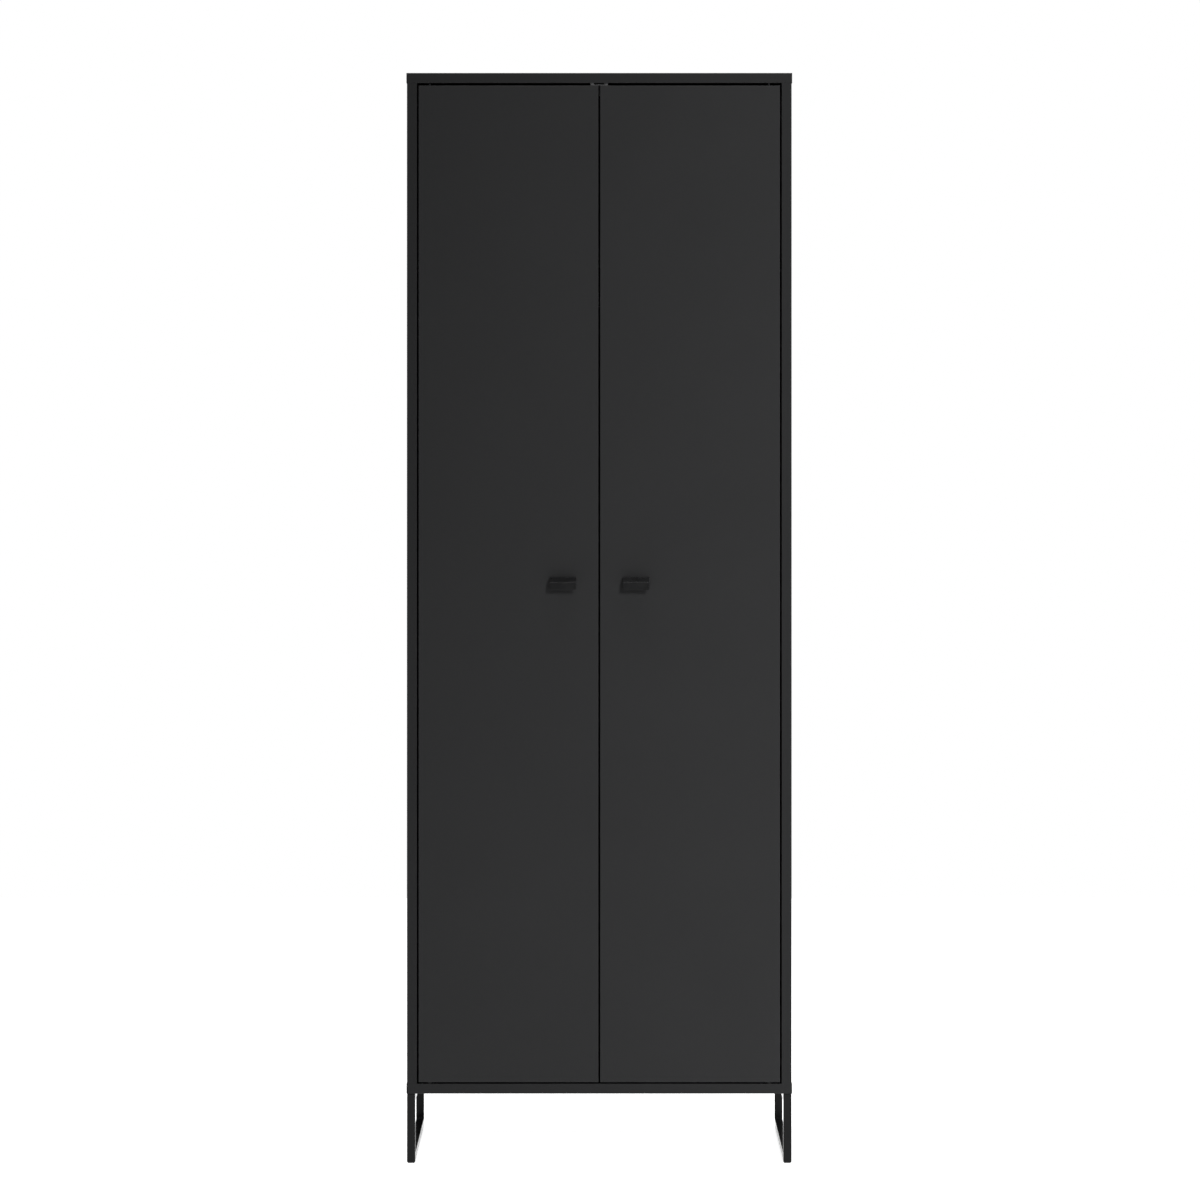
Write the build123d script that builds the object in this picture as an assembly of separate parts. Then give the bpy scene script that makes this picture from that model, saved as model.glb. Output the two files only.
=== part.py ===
from build123d import *
import math
import os

# Two-door wardrobe: a board carcass on two sled frames of square steel tube, with inset doors that
# turn on pins at their top and bottom edges. Units are mm, +Z is up, the doors face -Y, and the
# origin is on the floor under the middle of the whole outline, handles included.

# Driving dimensions of the outline
WIDTH = 700.0
HEIGHT = 1978.0
DEPTH = 500.0
HANDLE_REACH = 22.0
LEG_HEIGHT = 126.0
BOARD = 18.0
DOOR_BOARD = 16.0
SHELF_BOARD = 16.0
OVERHANG = 1.0

# Doors and the gaps round them
SIDE_GAP = 3.1
MEETING_GAP = 3.0
BOTTOM_GAP = 2.9
TOP_GAP = 4.8
EDGE_ROUND = 1.0

# Door pivots: the pin stands back from the door's outer edge, midway through its thickness
PIVOT_INSET = 20.0
PIN_RADIUS = 3.0
RUNNING_GAP = 0.05
BUSH_RADIUS = 4.5
BUSH_FLANGE = 6.0
BOTTOM_PIN_ENGAGED = 4.2
TOP_PIN_ENGAGED = 6.2

# Sled frames
TUBE = 15.0
TUBE_WALL = 1.5
TUBE_ROUND = 1.2
FRAME_CORNER = 1.5
FRAME_SETBACK = 1.0
PAD_THICKNESS = 1.5

# Interior
BACK_THICKNESS = 3.0
STRIP_THICKNESS = 1.0
STRIP_HEIGHT = 16.0
SHELF_TOP = 1640.0
SHELF_SETBACK = 34.0
SHELF_DEPTH = 460.0
RAIL_RADIUS = 12.5
RAIL_WALL = 1.2
RAIL_DROP = 52.0

# Small clearance round every fixed fitting that sits in a hole
FIT_GAP = 0.05

# A cut runs this far past the surface that it must clear
OVERCUT = 1.0

# Places that follow from the driving dimensions
FRONT = -(DEPTH - HANDLE_REACH) / 2
REAR = FRONT + DEPTH
BASE_TOP = LEG_HEIGHT + BOARD
TOP_UNDERSIDE = HEIGHT - BOARD
SIDE_OUTER = WIDTH / 2 - OVERHANG
SIDE_INNER = SIDE_OUTER - BOARD
SIDE_MIDDLE = SIDE_OUTER - BOARD / 2
BACK_OUTER = REAR - STRIP_THICKNESS
BACK_INNER = BACK_OUTER - BACK_THICKNESS
DOOR_OUTER = SIDE_INNER - SIDE_GAP
DOOR_INNER = MEETING_GAP / 2
DOOR_BOTTOM = BASE_TOP + BOTTOM_GAP
DOOR_TOP = TOP_UNDERSIDE - TOP_GAP
DOOR_BACK = FRONT + DOOR_BOARD
PIVOT_X = DOOR_OUTER - PIVOT_INSET
PIVOT_Y = FRONT + DOOR_BOARD / 2
FRAME_X = SIDE_OUTER - TUBE / 2
RAIL_Y = (DOOR_BACK + BACK_INNER) / 2
RAIL_Z = SHELF_TOP - SHELF_BOARD - RAIL_DROP

LOW = (Align.CENTER, Align.CENTER, Align.MIN)


def block(x_span, y_span, z_span):
    """A box between two limits along each axis."""
    size = [high - low for low, high in (x_span, y_span, z_span)]
    centre = [(high + low) / 2 for low, high in (x_span, y_span, z_span)]
    return Pos(*centre) * Box(*size)


def rod(radius, start, direction, length):
    """A cylinder that starts at a point and runs along a direction."""
    return Plane(origin=start, z_dir=direction) * Cylinder(radius, length, align=LOW)


def both_sides(piece):
    """The piece on the left with its mirror image on the right, as two separate solids."""
    return list(piece.solids()) + list(mirror(piece, about=Plane.YZ).solids())


def without(body, cutters):
    """The body less each cutter."""
    for cutter in cutters:
        body = body - cutter
    return body


# Fasteners -----------------------------------------------------------------------------------------

# Head radius, head height and shank radius of each kind of screw
WOOD_SCREW = (3.3, 2.0, 1.75)
SMALL_SCREW = (2.7, 1.7, 1.25)
MACHINE_SCREW = (4.0, 2.4, 2.0)
FRAME_SCREW = (5.0, 3.3, 3.0)
SCREW_POINT_RADIUS = 0.3
PAN_HEAD_ROUND = 0.8
RECESS_DEPTH = 0.45
RECESS_LENGTH = 1.1
RECESS_WIDTH = 0.22


def countersunk_screw(kind, seat, direction, length, grow=0.0):
    """A flat-headed screw: its head's face is at the seat and its point is one length further on."""
    head_radius, head_height, shank_radius = kind
    head = Cone(head_radius + grow, shank_radius + grow, head_height, align=LOW)
    tip = 2 * shank_radius
    shank = Cylinder(shank_radius + grow, length - tip, align=LOW)
    point = Pos(0, 0, length - tip) * Cone(shank_radius + grow, SCREW_POINT_RADIUS, tip, align=LOW)
    body = head + shank + point
    if not grow:
        body = without(body, cross_recess(head_radius))
    return Plane(origin=seat, z_dir=direction) * body


def pan_screw(kind, seat, direction, length, grow=0.0):
    """A pan-headed screw: its head's underside is at the seat and its shank runs along the direction."""
    head_radius, head_height, shank_radius = kind
    head = Pos(0, 0, -head_height) * Cylinder(head_radius + grow, head_height, align=LOW)
    body = Cylinder(shank_radius + grow, length, align=LOW) + head
    if not grow:
        rim = body.edges().filter_by(GeomType.CIRCLE).sort_by(Axis.Z)[0]
        body = fillet(rim, PAN_HEAD_ROUND)
        body = without(body, [Pos(0, 0, -head_height) * cut for cut in cross_recess(head_radius)])
    return Plane(origin=seat, z_dir=direction) * body


def cross_recess(head_radius):
    """The two crossed slots of a driver recess, cut into a head whose face is at z = 0."""
    depth = head_radius * RECESS_DEPTH
    length = head_radius * RECESS_LENGTH
    width = head_radius * RECESS_WIDTH
    return [Box(length, width, 2 * depth), Box(width, length, 2 * depth)]


# Carcass joints: cam fittings and dowels at the top and bottom of each side panel --------------------

CAM_RADIUS = 7.5
CAM_DEPTH = 13.5
CAM_FACE = 4.8
CAM_DISTANCE = 34.0
CAM_SLOT_GAP = 0.6
CAM_RECESS_RADIUS = 4.0
CAM_OFFSETS = (50.0, 446.0)
DOWEL_OFFSETS = (110.0, 386.0)
DOWEL_RADIUS = 4.0
DOWEL_LENGTH = 30.0
DOWEL_IN_PANEL = 10.0
BOLT_SHAFT = 3.5
BOLT_NECK = 2.0
BOLT_THREAD = 2.5
BOLT_THREAD_LENGTH = 11.0
BOLT_HEAD_HEIGHT = 4.0
BOLT_NECK_HEIGHT = 6.0
BOLT_HOLE_GAP = 0.5
DOWEL_CHAMFER = 0.8


def joint_ends():
    """Height of the joint face and the way from it into the side panel, at the top and the bottom."""
    return ((TOP_UNDERSIDE, -1), (BASE_TOP, 1))


def cam_bolt(offset, face, way, grow=0.0):
    """A bolt screwed into the horizontal panel, with its head held in the side panel's cam."""
    head_end = CAM_DISTANCE + BOLT_HEAD_HEIGHT / 2
    neck_end = head_end - BOLT_HEAD_HEIGHT
    shaft_end = neck_end - BOLT_NECK_HEIGHT

    def stretch(radius, start, end):
        place = (-SIDE_MIDDLE, FRONT + offset, face + way * start)
        return rod(radius + grow, place, (0, 0, way), end - start)

    bolt = stretch(BOLT_THREAD, -BOLT_THREAD_LENGTH, 0) + stretch(BOLT_SHAFT, 0, shaft_end)
    bolt += stretch(BOLT_NECK, shaft_end, neck_end)
    return bolt + stretch(BOLT_SHAFT, neck_end, head_end)


def cam_bolt_hole(offset, face, way):
    """The room for a cam bolt, in the horizontal panel and in the side panel's end."""
    place = (-SIDE_MIDDLE, FRONT + offset, face)
    thread = rod(BOLT_THREAD + FIT_GAP, place, (0, 0, -way), BOLT_THREAD_LENGTH + OVERCUT)
    shaft = rod(BOLT_SHAFT + BOLT_HOLE_GAP, place, (0, 0, way), CAM_DISTANCE + BOLT_HEAD_HEIGHT)
    return thread + shaft


def cam_hole(offset, face, way):
    """The blind hole for a cam in the inner face of the left side panel."""
    middle = face + way * CAM_DISTANCE
    return rod(CAM_RADIUS, (-SIDE_INNER, FRONT + offset, middle), (-1, 0, 0), CAM_DEPTH)


def cam_lock(offset, face, way):
    """A round cam with a slot for the bolt's head and a driver recess in its face."""
    middle = face + way * CAM_DISTANCE
    centre_y = FRONT + offset
    cam = rod(CAM_RADIUS - FIT_GAP, (-SIDE_INNER, centre_y, middle), (-1, 0, 0), CAM_DEPTH - FIT_GAP)
    slot_half = BOLT_SHAFT + CAM_SLOT_GAP
    slot_z = sorted((middle + way * (slot_half - OVERCUT), middle - way * 2 * CAM_RADIUS))
    slot_x = (-SIDE_INNER - CAM_DEPTH, -SIDE_INNER - CAM_FACE)
    cam -= block(slot_x, (centre_y - slot_half, centre_y + slot_half), slot_z)
    face_plane = Plane(origin=(-SIDE_INNER, centre_y, middle), z_dir=(-1, 0, 0))
    return without(cam, [face_plane * cut for cut in cross_recess(CAM_RECESS_RADIUS)])


def dowel(offset, face, way, grow=0.0):
    """A wooden dowel across the joint."""
    start = (-SIDE_MIDDLE, FRONT + offset, face - way * (DOWEL_IN_PANEL + grow))
    length = DOWEL_LENGTH + 2 * grow
    body = rod(DOWEL_RADIUS + grow, start, (0, 0, way), length)
    if grow:
        return body
    return chamfer(body.edges().filter_by(GeomType.CIRCLE), DOWEL_CHAMFER)


def joint_pieces(make, offsets, **options):
    """One left-hand piece for each offset at the top and the bottom joint."""
    return [make(offset, face, way, **options) for face, way in joint_ends() for offset in offsets]


# Sled frames -----------------------------------------------------------------------------------------

FRAME_SCREW_OFFSETS = (80.0, 250.0, 416.0)
FRAME_SCREW_LENGTH = 14.5
INSERT_RADIUS = 4.5
INSERT_LENGTH = 14.0
ACCESS_RADIUS = 6.0
FRAME_SCREW_GAP = 0.3
PAD_LENGTH = 24.0
PAD_WIDTH = 12.0
PAD_OFFSETS = (2.5, 473.5)
PAD_CORNER = 2.0


def frame_tube(along, start, end, across):
    """A hollow square tube along Y or Z, between two limits, at one place across."""
    length = end - start
    section = RectangleRounded(TUBE, TUBE, TUBE_ROUND) - Rectangle(TUBE - 2 * TUBE_WALL, TUBE - 2 * TUBE_WALL)
    if along == "y":
        plane = Plane(origin=(-FRAME_X, start, across), x_dir=(1, 0, 0), z_dir=(0, 1, 0))
    else:
        plane = Plane(origin=(-FRAME_X, across, start), x_dir=(1, 0, 0), z_dir=(0, 0, 1))
    return extrude(plane * section, amount=length)


def frame_sector(corners):
    """A prism across the frame with the given (y, z) corners."""
    plane = Plane(origin=(-FRAME_X - TUBE, 0, 0), x_dir=(0, 1, 0), z_dir=(1, 0, 0))
    outline = make_face(Polyline(*corners, close=True))
    return extrude(plane * outline, amount=2 * TUBE)


def frame_members():
    """Upper rail, floor runner, front leg and rear leg of the left frame, mitred where they meet."""
    front = FRONT + FRAME_SETBACK
    rear = REAR - FRAME_SETBACK
    low = PAD_THICKNESS
    high = LEG_HEIGHT
    outer = [(front, low), (rear, low), (rear, high), (front, high)]
    inner = [
        (front + TUBE, low + TUBE),
        (rear - TUBE, low + TUBE),
        (rear - TUBE, high - TUBE),
        (front + TUBE, high - TUBE),
    ]
    tubes = [
        frame_tube("y", front, rear, low + TUBE / 2),
        frame_tube("z", low, high, rear - TUBE / 2),
        frame_tube("y", front, rear, high - TUBE / 2),
        frame_tube("z", low, high, front + TUBE / 2),
    ]
    centre = (-FRAME_X - TUBE, (front + rear) / 2, (low + high) / 2)
    outline_plane = Plane(origin=centre, x_dir=(0, 1, 0), z_dir=(1, 0, 0))
    outline = outline_plane * RectangleRounded(rear - front, high - low, FRAME_CORNER)
    rounded = extrude(outline, amount=2 * TUBE)
    members = []
    for side, tube in enumerate(tubes):
        after = (side + 1) % len(tubes)
        sector = frame_sector([outer[side], outer[after], inner[after], inner[side]])
        members.append(tube & sector & rounded)
    runner, rear_leg, upper_rail, front_leg = members
    for offset in FRAME_SCREW_OFFSETS:
        place = (-FRAME_X, FRONT + offset, high - TUBE - OVERCUT)
        upper_rail -= rod(ACCESS_RADIUS, place, (0, 0, 1), TUBE_WALL + 2 * OVERCUT)
        upper_rail -= rod(FRAME_SCREW[2] + FRAME_SCREW_GAP, place, (0, 0, 1), TUBE + 2 * OVERCUT)
    return [runner, rear_leg, upper_rail, front_leg]


def frame_screws():
    """Screws that stand inside the upper rail and pull it up against the bottom panel."""
    seat_z = LEG_HEIGHT - TUBE_WALL
    return [
        pan_screw(FRAME_SCREW, (-FRAME_X, FRONT + offset, seat_z), (0, 0, 1), FRAME_SCREW_LENGTH)
        for offset in FRAME_SCREW_OFFSETS
    ]


def frame_insert(offset, grow=0.0):
    """A threaded insert in the underside of the bottom panel."""
    place = (-FRAME_X, FRONT + offset, LEG_HEIGHT)
    body = rod(INSERT_RADIUS + grow, place, (0, 0, 1), INSERT_LENGTH + grow)
    if grow:
        return body
    return body - rod(FRAME_SCREW[2] + FIT_GAP, place, (0, 0, 1), INSERT_LENGTH)


def floor_pad(offset):
    """A thin pad under the floor runner."""
    x_span = (-FRAME_X - PAD_WIDTH / 2, -FRAME_X + PAD_WIDTH / 2)
    pad = block(x_span, (FRONT + offset, FRONT + offset + PAD_LENGTH), (0, PAD_THICKNESS))
    return fillet(pad.edges().filter_by(Axis.Z), PAD_CORNER)


# Door pivots -----------------------------------------------------------------------------------------

PLATE_LENGTH = 40.0
PLATE_WIDTH = 12.0
PLATE_THICKNESS = 2.0
PLATE_SCREW_OFFSET = 13.5
PLATE_SCREW_LENGTH = 13.0
PIN_TAIL = 6.0
PIN_CHAMFER = 0.8
WASHER_GAP = 0.1
WASHER_THICKNESS = 1.2
FLANGE_THICKNESS = 1.6
DOOR_BUSH_LENGTH = 14.0
DOOR_BUSH_BORE = 12.0
TOP_BUSH_LENGTH = 12.5
TOP_BUSH_BORE = 12.0
TOP_SLEEVE_LENGTH = 22.0


def pivot_point(z):
    """A point on the left door's pivot axis."""
    return (-PIVOT_X, PIVOT_Y, z)


def bottom_plate(grow=0.0):
    """The round-ended plate let into the bottom panel, which holds the bottom pin."""
    outline = SlotOverall(PLATE_LENGTH + 2 * grow, PLATE_WIDTH + 2 * grow)
    low = BASE_TOP - PLATE_THICKNESS
    plate = extrude(Plane(origin=pivot_point(low)) * outline, amount=PLATE_THICKNESS)
    if grow:
        return plate
    plate -= rod(PIN_RADIUS + FIT_GAP, pivot_point(low), (0, 0, 1), PLATE_THICKNESS)
    return without(plate, bottom_plate_screws(grow=FIT_GAP))


def bottom_plate_screws(grow=0.0):
    """The two screws of the left bottom plate."""
    seats = [(-PIVOT_X + way * PLATE_SCREW_OFFSET, PIVOT_Y, BASE_TOP) for way in (-1, 1)]
    return [countersunk_screw(SMALL_SCREW, seat, (0, 0, -1), PLATE_SCREW_LENGTH, grow) for seat in seats]


def bottom_pin(grow=0.0):
    """The fixed pin that the door stands on."""
    low = BASE_TOP - PLATE_THICKNESS - PIN_TAIL
    high = DOOR_BOTTOM - FLANGE_THICKNESS + BOTTOM_PIN_ENGAGED
    pin = rod(PIN_RADIUS + grow, pivot_point(low - grow), (0, 0, 1), high - low + grow)
    if grow:
        return pin
    return chamfer(pin.edges().filter_by(GeomType.CIRCLE).sort_by(Axis.Z)[-1], PIN_CHAMFER)


def bottom_washer():
    """The thrust washer between the bottom panel and the door's bush."""
    ring = rod(BUSH_FLANGE, pivot_point(BASE_TOP), (0, 0, 1), WASHER_THICKNESS)
    return ring - rod(PIN_RADIUS + WASHER_GAP, pivot_point(BASE_TOP), (0, 0, 1), WASHER_THICKNESS)


def door_bush():
    """The flanged bush in the door's bottom edge, which turns on the bottom pin."""
    low = DOOR_BOTTOM - FLANGE_THICKNESS
    bush = rod(BUSH_FLANGE, pivot_point(low), (0, 0, 1), FLANGE_THICKNESS)
    bush += rod(BUSH_RADIUS, pivot_point(low), (0, 0, 1), FLANGE_THICKNESS + DOOR_BUSH_LENGTH)
    return bush - rod(PIN_RADIUS + RUNNING_GAP, pivot_point(low), (0, 0, 1), DOOR_BUSH_BORE)


def top_pin():
    """The pin and its sleeve in the door's top edge."""
    sleeve = rod(BUSH_RADIUS, pivot_point(DOOR_TOP - TOP_SLEEVE_LENGTH), (0, 0, 1), TOP_SLEEVE_LENGTH)
    pin = rod(PIN_RADIUS, pivot_point(DOOR_TOP), (0, 0, 1), TOP_GAP + TOP_PIN_ENGAGED)
    tip = pin.edges().filter_by(GeomType.CIRCLE).sort_by(Axis.Z)[-1]
    return sleeve + chamfer(tip, PIN_CHAMFER)


def top_bush():
    """The blind bush in the underside of the top panel, which takes the door's top pin."""
    bush = rod(BUSH_RADIUS, pivot_point(TOP_UNDERSIDE), (0, 0, 1), TOP_BUSH_LENGTH)
    return bush - rod(PIN_RADIUS + RUNNING_GAP, pivot_point(TOP_UNDERSIDE), (0, 0, 1), TOP_BUSH_BORE)


# Handles ---------------------------------------------------------------------------------------------

HANDLE_WIDTH = 48.0
HANDLE_FROM_EDGE = 41.0
# The top is the sharp corner above the flange, and its bend takes the highest millimetre off it
HANDLE_TOP = 1064.0
HANDLE_HEIGHT = 23.5
HANDLE_FALL = 9.2
HANDLE_SHEET = 2.0
HANDLE_BEND = 2.4
HANDLE_CORNER = 1.5
HANDLE_RIM = 0.4
HANDLE_INNER = DOOR_INNER + HANDLE_FROM_EDGE
HANDLE_OUTER = HANDLE_INNER + HANDLE_WIDTH
HANDLE_SCREW_SPACING = 32.0
HANDLE_SCREW_DROP = 16.0
HANDLE_SCREW_Z = HANDLE_TOP - HANDLE_SCREW_DROP
HANDLE_TAP_DEPTH = 1.5


def handle_underside(depth):
    """Height of the hood's inner face at a depth out from the door, one sheet under the outer face."""
    slope = math.hypot(HANDLE_FALL, HANDLE_REACH) / HANDLE_REACH
    return HANDLE_TOP - HANDLE_FALL * depth / HANDLE_REACH - HANDLE_SHEET * slope


def handle_prism(corners):
    """A prism as wide as the left handle, with the given corners of (depth out from the door, height)."""
    plane = Plane(origin=(-HANDLE_OUTER, FRONT, 0), x_dir=(0, -1, 0), z_dir=(-1, 0, 0))
    return extrude(plane * make_face(Polyline(*corners, close=True)), amount=-HANDLE_WIDTH)


def handle():
    """A hood folded from one strip: a flange on the door, a top that falls forward and an upright face."""
    bottom = HANDLE_TOP - HANDLE_HEIGHT
    near = HANDLE_SHEET
    far = HANDLE_REACH - HANDLE_SHEET
    outside = [(0, HANDLE_TOP), (HANDLE_REACH, HANDLE_TOP - HANDLE_FALL), (HANDLE_REACH, bottom), (0, bottom)]
    inside = [
        (near, handle_underside(near)),
        (far, handle_underside(far)),
        (far, bottom - OVERCUT),
        (near, bottom - OVERCUT),
    ]
    solid_hood = handle_prism(outside)
    bends = solid_hood.edges().filter_by(Axis.X).sort_by(Axis.Z)[-2:]
    pull = fillet(bends, HANDLE_BEND) - handle_prism(inside)
    corners = pull.edges().filter_by(Axis.Y).group_by(Axis.Z)[0]
    pull = fillet(corners, HANDLE_CORNER)
    face_rim = pull.faces().sort_by(Axis.Y)[0].edges().filter_by(Axis.Z)
    pull = fillet(face_rim, HANDLE_RIM)
    return without(pull, handle_screws(grow=FIT_GAP))


def handle_screws(grow=0.0):
    """The two screws that hold the left handle from inside the door."""
    middle = -(HANDLE_OUTER + HANDLE_INNER) / 2
    length = DOOR_BOARD + HANDLE_TAP_DEPTH
    return [
        pan_screw(
            MACHINE_SCREW,
            (middle + way * HANDLE_SCREW_SPACING / 2, DOOR_BACK, HANDLE_SCREW_Z),
            (0, -1, 0),
            length,
            grow,
        )
        for way in (-1, 1)
    ]


# Magnetic catch under the middle of the top panel -----------------------------------------------------

CATCH_HALF_WIDTH = 16.0
CATCH_DEPTH = 14.0
CATCH_HEIGHT = 22.0
CATCH_CLEARANCE = 0.2
CATCH_CORNER = 1.5
STRIKE_THICKNESS = 1.0
STRIKE_WIDTH = 14.0
STRIKE_HEIGHT = 24.0
STRIKE_SIDE_INSET = 2.0
STRIKE_TOP_INSET = 2.5
STRIKE_CORNER = 2.0
STRIKE_SCREW_RISE = 6.0
STRIKE_INNER = DOOR_INNER + STRIKE_SIDE_INSET
STRIKE_OUTER = STRIKE_INNER + STRIKE_WIDTH
STRIKE_TOP = DOOR_TOP - STRIKE_TOP_INSET
STRIKE_MIDDLE = (STRIKE_INNER + STRIKE_OUTER) / 2
STRIKE_SCREW_Z = STRIKE_TOP - STRIKE_HEIGHT + STRIKE_SCREW_RISE
STRIKE_SCREW_LENGTH = 12.0
MAGNET_WIDTH = 9.0
MAGNET_HEIGHT = 8.0
MAGNET_DEPTH = 4.0
MAGNET_DROP = 14.0
MAGNET_Z = TOP_UNDERSIDE - MAGNET_DROP
CATCH_FRONT = DOOR_BACK + STRIKE_THICKNESS + CATCH_CLEARANCE
CATCH_SCREW_X = 9.0
CATCH_SCREW_SETBACK = 9.3
CATCH_SCREW_DROP = 10.0
CATCH_SCREW_Y = CATCH_FRONT + CATCH_SCREW_SETBACK
CATCH_SCREW_SEAT = TOP_UNDERSIDE - CATCH_SCREW_DROP
CATCH_SCREW_LENGTH = 21.0
NOSE_SETBACK = 4.0
NOSE_HEIGHT = 4.2
NOSE_SLOT_HALF_WIDTH = 9.5
NOSE_SLOT_HEIGHT = 2.8


def catch_magnet(grow=0.0):
    """The left magnet, flush with the front of the catch."""
    half_x = MAGNET_WIDTH / 2 + grow
    half_z = MAGNET_HEIGHT / 2 + grow
    x_span = (-STRIKE_MIDDLE - half_x, -STRIKE_MIDDLE + half_x)
    y_span = (CATCH_FRONT, CATCH_FRONT + MAGNET_DEPTH + grow)
    return block(x_span, y_span, (MAGNET_Z - half_z, MAGNET_Z + half_z))


def catch_screw(grow=0.0):
    """The left screw of the catch, up into the top panel."""
    seat = (-CATCH_SCREW_X, CATCH_SCREW_Y, CATCH_SCREW_SEAT)
    return countersunk_screw(WOOD_SCREW, seat, (0, 0, 1), CATCH_SCREW_LENGTH, grow)


def catch_nose():
    """The catch's low bridge, which reaches forward through the gap above the doors."""
    y_span = (FRONT + NOSE_SETBACK, CATCH_FRONT + CATCH_DEPTH / 2)
    z_span = (TOP_UNDERSIDE - NOSE_HEIGHT, TOP_UNDERSIDE)
    nose = block((-CATCH_HALF_WIDTH, CATCH_HALF_WIDTH), y_span, z_span)
    slot_x = (-NOSE_SLOT_HALF_WIDTH, NOSE_SLOT_HALF_WIDTH)
    slot_z = (TOP_UNDERSIDE - NOSE_SLOT_HEIGHT, TOP_UNDERSIDE)
    return nose - block(slot_x, (FRONT, CATCH_FRONT), slot_z)


def catch_housing():
    """The catch's body, with pockets for the magnets and deep holes for its two screws."""
    x_span = (-CATCH_HALF_WIDTH, CATCH_HALF_WIDTH)
    y_span = (CATCH_FRONT, CATCH_FRONT + CATCH_DEPTH)
    body = block(x_span, y_span, (TOP_UNDERSIDE - CATCH_HEIGHT, TOP_UNDERSIDE))
    body = fillet(body.edges().filter_by(Axis.Z), CATCH_CORNER) + catch_nose()
    counterbore_depth = CATCH_HEIGHT - (TOP_UNDERSIDE - CATCH_SCREW_SEAT)
    counterbore = rod(
        WOOD_SCREW[0] + FIT_GAP,
        (-CATCH_SCREW_X, CATCH_SCREW_Y, TOP_UNDERSIDE - CATCH_HEIGHT),
        (0, 0, 1),
        counterbore_depth,
    )
    left_cuts = [catch_magnet(FIT_GAP), catch_screw(FIT_GAP), counterbore]
    for cut in left_cuts:
        body = without(body, both_sides(cut))
    return body


def strike_plate():
    """The steel plate on the back of the left door that the magnet holds."""
    x_span = (-STRIKE_OUTER, -STRIKE_INNER)
    y_span = (DOOR_BACK, DOOR_BACK + STRIKE_THICKNESS)
    plate = block(x_span, y_span, (STRIKE_TOP - STRIKE_HEIGHT, STRIKE_TOP))
    plate = fillet(plate.edges().filter_by(Axis.Y), STRIKE_CORNER)
    return plate - strike_screw(FIT_GAP)


def strike_screw(grow=0.0):
    """The screw of the left strike plate."""
    seat = (-STRIKE_MIDDLE, DOOR_BACK + STRIKE_THICKNESS, STRIKE_SCREW_Z)
    return countersunk_screw(SMALL_SCREW, seat, (0, -1, 0), STRIKE_SCREW_LENGTH, grow)


# Wall brackets ---------------------------------------------------------------------------------------

BRACKET_X = 280.0
BRACKET_WIDTH = 20.0
BRACKET_LEG = 25.0
BRACKET_SHEET = 2.0
BRACKET_HOLE = 3.0
BRACKET_HOLE_DROP = 15.0
BRACKET_HOLE_Z = TOP_UNDERSIDE - BRACKET_HOLE_DROP
BRACKET_SCREW_SETBACK = 15.0
ANCHOR_HOLE_GAP = 1.0
BRACKET_SCREW_LENGTH = 14.0


def wall_bracket():
    """An angle under the top panel whose hole takes the screw into the wall."""
    x_span = (-BRACKET_X - BRACKET_WIDTH / 2, -BRACKET_X + BRACKET_WIDTH / 2)
    upper = (TOP_UNDERSIDE - BRACKET_SHEET, TOP_UNDERSIDE)
    hanging = (TOP_UNDERSIDE - BRACKET_LEG, TOP_UNDERSIDE)
    angle = block(x_span, (BACK_INNER - BRACKET_LEG, BACK_INNER), upper)
    angle += block(x_span, (BACK_INNER - BRACKET_SHEET, BACK_INNER), hanging)
    hole_start = (-BRACKET_X, BACK_INNER - BRACKET_SHEET, BRACKET_HOLE_Z)
    angle -= rod(BRACKET_HOLE, hole_start, (0, 1, 0), BRACKET_SHEET)
    return angle - bracket_screw(FIT_GAP)


def bracket_screw(grow=0.0):
    """The screw that holds the left bracket to the top panel."""
    seat = (-BRACKET_X, BACK_INNER - BRACKET_SCREW_SETBACK, TOP_UNDERSIDE - BRACKET_SHEET)
    return countersunk_screw(WOOD_SCREW, seat, (0, 0, 1), BRACKET_SCREW_LENGTH, grow)


def back_panel_anchor_hole():
    """The hole through the back panel behind the left bracket."""
    start = (-BRACKET_X, BACK_INNER, BRACKET_HOLE_Z)
    return rod(BRACKET_HOLE + ANCHOR_HOLE_GAP, start, (0, 1, 0), BACK_THICKNESS)


# Clothes rail ----------------------------------------------------------------------------------------

SOCKET_BASE = 3.0
SOCKET_RADIUS = 24.0
SOCKET_COLLAR_RADIUS = 15.5
SOCKET_COLLAR_LENGTH = 14.0
SOCKET_SCREW_OFFSET = 19.7
SOCKET_SCREW_LENGTH = 15.0


def rail_point(x, z_shift=0.0):
    """A point level with the clothes rail's axis."""
    return (x, RAIL_Y, RAIL_Z + z_shift)


def clothes_rail():
    """A round steel tube between the two sockets."""
    start = -(SIDE_INNER - SOCKET_BASE)
    length = -2 * start
    tube = rod(RAIL_RADIUS, rail_point(start), (1, 0, 0), length)
    return tube - rod(RAIL_RADIUS - RAIL_WALL, rail_point(start), (1, 0, 0), length)


def socket_screws(grow=0.0):
    """The two screws of the left rail socket."""
    x = -(SIDE_INNER - SOCKET_BASE)
    seats = [rail_point(x, way * SOCKET_SCREW_OFFSET) for way in (-1, 1)]
    return [countersunk_screw(WOOD_SCREW, seat, (-1, 0, 0), SOCKET_SCREW_LENGTH, grow) for seat in seats]


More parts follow.
